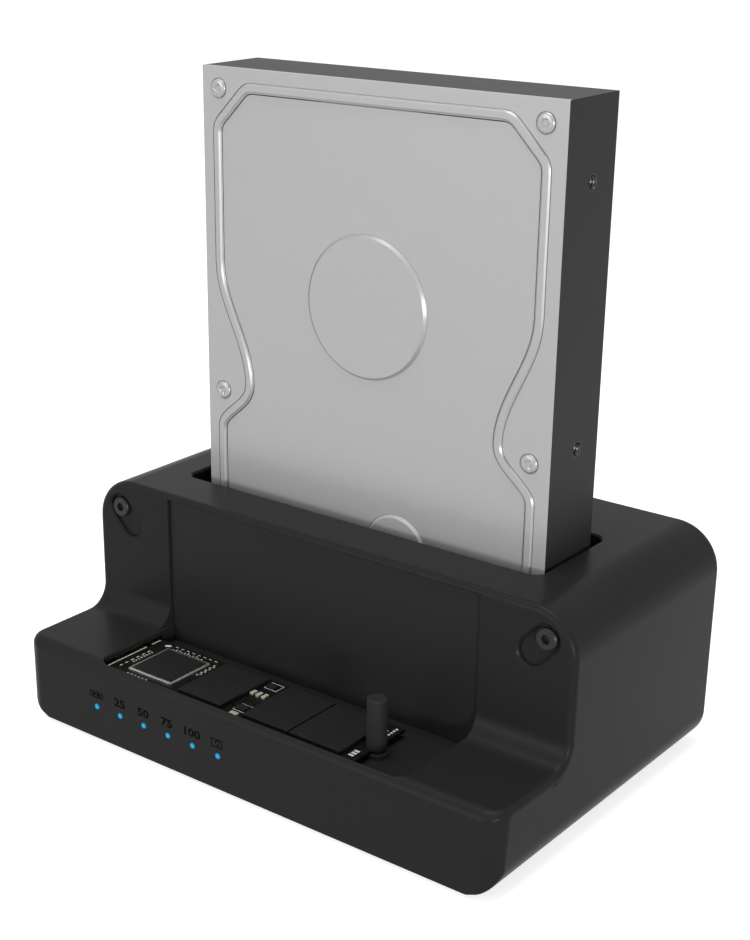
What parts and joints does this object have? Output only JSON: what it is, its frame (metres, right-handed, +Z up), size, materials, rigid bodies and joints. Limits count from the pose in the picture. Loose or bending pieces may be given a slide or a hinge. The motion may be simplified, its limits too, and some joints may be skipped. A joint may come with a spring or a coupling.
{
  "type": "drive docking station",
  "caption": "Desktop docking station with a bare hard drive standing in its slot and a flash card lying in an open front pocket.",
  "frame": {"origin": "on the table, under the middle of the bounding box of dock and drive", "axes": "+Z up along the standing drive, -Y out of the dock's front face with the lights, +X to the right seen from the front"},
  "size_m": [0.145, 0.0968, 0.1626],
  "materials": {
    "housing_plastic": "black moulded plastic, fine satin grain",
    "insert_plastic": "black moulded plastic, satin",
    "base_plastic": "black moulded plastic, matt",
    "guide_plastic": "black moulded plastic, matt",
    "foot_rubber": "matt black rubber",
    "grommet_rubber": "matt black rubber",
    "pin_plastic": "firm black elastomer, matt",
    "button_plastic": "black plastic, satin",
    "black_screw": "blackened steel",
    "plain_screw": "zinc-plated steel",
    "green_board": "solder mask over glass laminate",
    "chip_plastic": "black moulding compound",
    "capacitor_can": "plain aluminium can",
    "inductor_ferrite": "pressed ferrite",
    "crystal_can": "plated steel can",
    "connector_plastic": "black connector plastic",
    "contact_gold": "gold-plated contacts",
    "port_steel": "plated steel",
    "led_body": "clear resin on white body",
    "lens_plastic": "clear light guide, lit cyan",
    "card_laminate": "very dark olive solder mask",
    "frame_metal": "stamped metal ring",
    "part_ceramic": "ceramic and tinned parts",
    "drive_casting": "die-cast aluminium with a black coating",
    "cover_metal": "pressed sheet, satin light grey",
    "cover_screw": "plated steel",
    "gasket_rubber": "foamed elastomer",
    "platter_metal": "mirror-polished disc",
    "machined_metal": "machined aluminium",
    "shaft_steel": "ground steel",
    "coil_copper": "enamelled copper wire",
    "magnet_steel": "nickel-plated steel and magnet",
    "ramp_plastic": "low-friction plastic"
  },
  "bodies": {
    "dock": {"upper_housing": "housing_plastic", "front_insert": "insert_plastic", "base_plate": "base_plastic", "slot_guide": "guide_plastic", "rubber_feet": "foot_rubber", "pin_grommet": "grommet_rubber", "cheek_screws": "black_screw", "base_screws": "black_screw", "insert_screws": "black_screw", "guide_screws": "black_screw", "board_screws": "plain_screw", "carrier_screws": "plain_screw", "main_board": "green_board", "card_carrier": "green_board", "led_board": "green_board", "board_chips": "chip_plastic", "capacitors": "capacitor_can", "inductors": "inductor_ferrite", "crystal": "crystal_can", "drive_socket": "connector_plastic", "card_connector": "connector_plastic", "stack_header": "connector_plastic", "usb_tongue": "connector_plastic", "dc_jack": "connector_plastic", "power_switch": "connector_plastic", "start_switch": "connector_plastic", "socket_contacts": "contact_gold", "card_contacts": "contact_gold", "usb_socket": "port_steel", "dc_pin": "port_steel", "leds": "led_body", "led_lenses": "lens_plastic"},
    "drive": {"drive_base": "drive_casting", "drive_cover": "cover_metal", "cover_screws": "cover_screw", "drive_gasket": "gasket_rubber", "drive_board": "green_board", "drive_board_screws": "plain_screw", "drive_plug": "connector_plastic", "spindle_shaft": "shaft_steel", "pivot_post": "shaft_steel", "voice_magnets": "magnet_steel", "parking_ramp": "ramp_plastic"},
    "spindle": {"platter": "platter_metal", "spindle_hub": "machined_metal", "disc_clamp": "machined_metal"},
    "actuator": {"actuator_arm": "machined_metal", "voice_coil": "coil_copper"},
    "card": {"card_board": "card_laminate", "card_controller": "chip_plastic", "controller_frame": "frame_metal", "card_memory": "chip_plastic", "card_parts": "part_ceramic", "card_fingers": "contact_gold"},
    "pin": {"retention_pin": "pin_plastic"},
    "power_key": {"power_button": "button_plastic"},
    "start_key": {"start_button": "button_plastic"}
  },
  "joints": [
    {"name": "drive_lift", "type": "slide", "parent": "dock", "child": "drive", "axis": [0, 0, 1], "range_m": [0, 0.05]},
    {"name": "platter_spin", "type": "hinge", "parent": "drive", "child": "spindle", "pos_m": [0.0011, 0.0036, 0.1108], "axis": [0, 1, 0], "continuous": true},
    {"name": "arm_swing", "type": "hinge", "parent": "drive", "child": "actuator", "pos_m": [0.0109, 0.0036, 0.0525], "axis": [0, 1, 0], "range_deg": [0, 33]},
    {"name": "card_tilt", "type": "hinge", "parent": "dock", "child": "card", "pos_m": [-0.0476, -0.0354, 0.01868], "axis": [0, -1, 0], "range_deg": [0, 20]},
    {"name": "pin_pull", "type": "slide", "parent": "dock", "child": "pin", "axis": [0, 0, 1], "range_m": [0, 0.032]},
    {"name": "power_press", "type": "slide", "parent": "dock", "child": "power_key", "axis": [0, -1, 0], "range_m": [0, 0.0012], "stiffness_N_per_m": 800},
    {"name": "start_press", "type": "slide", "parent": "dock", "child": "start_key", "axis": [0, -1, 0], "range_m": [0, 0.0012], "stiffness_N_per_m": 800}
  ],
  "couplings": [
    {"joint": "pin_pull", "follows": "card_tilt", "m_per_rad": 0.088}
  ]
}
